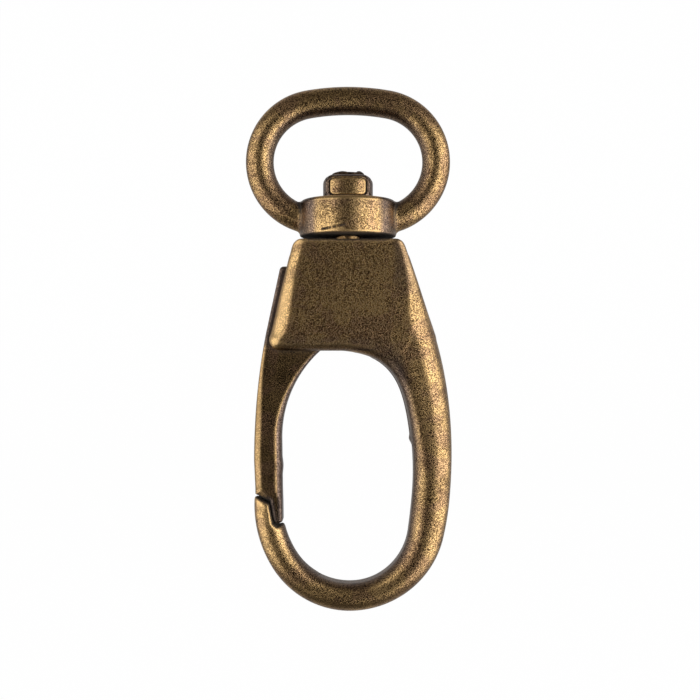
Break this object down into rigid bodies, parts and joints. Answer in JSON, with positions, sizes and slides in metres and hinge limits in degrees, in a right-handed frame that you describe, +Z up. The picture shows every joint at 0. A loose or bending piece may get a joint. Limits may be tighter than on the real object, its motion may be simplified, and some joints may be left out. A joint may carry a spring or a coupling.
{
  "type": "swivel snap hook",
  "caption": "Swivel snap hook for a keyring or bag strap: an oval strap eye turns on a post above a hook with a sprung gate.",
  "frame": {"origin": "on the swivel axis, at the crest of the inside of the strap eye's top bar", "axes": "+Z up along the swivel axis, with the hook hanging below the eye; +X towards the hook's arm, away from the gate; Y through the hook's thickness"},
  "size_m": [0.0274, 0.0128, 0.0697],
  "materials": {
    "antique_brass": "antique brass plate: dark brown patina over brass, mottled, with rubbed bright edges",
    "bright_brass": "plain turned brass, lightly tarnished",
    "pin_brass": "brass with dark patina",
    "spring_steel": "drawn spring wire"
  },
  "bodies": {
    "eye": {"swivel_eye": "antique_brass"},
    "hook": {"hook_body": "antique_brass", "swivel_post": "bright_brass", "post_cap": "antique_brass", "gate_pin": "pin_brass", "gate_spring": "spring_steel"},
    "gate": {"gate": "antique_brass"}
  },
  "joints": [
    {"name": "swivel", "type": "hinge", "parent": "eye", "child": "hook", "pos_m": [0, 0, -0.0139], "axis": [0, 0, 1], "continuous": true},
    {"name": "gate_hinge", "type": "hinge", "parent": "hook", "child": "gate", "pos_m": [-0.00682, 0, -0.02296], "axis": [0, -1, 0], "range_deg": [0, 22], "stiffness_Nm_per_rad": 0.35, "springref_deg": -9.74, "deforming": ["gate_spring"]}
  ]
}
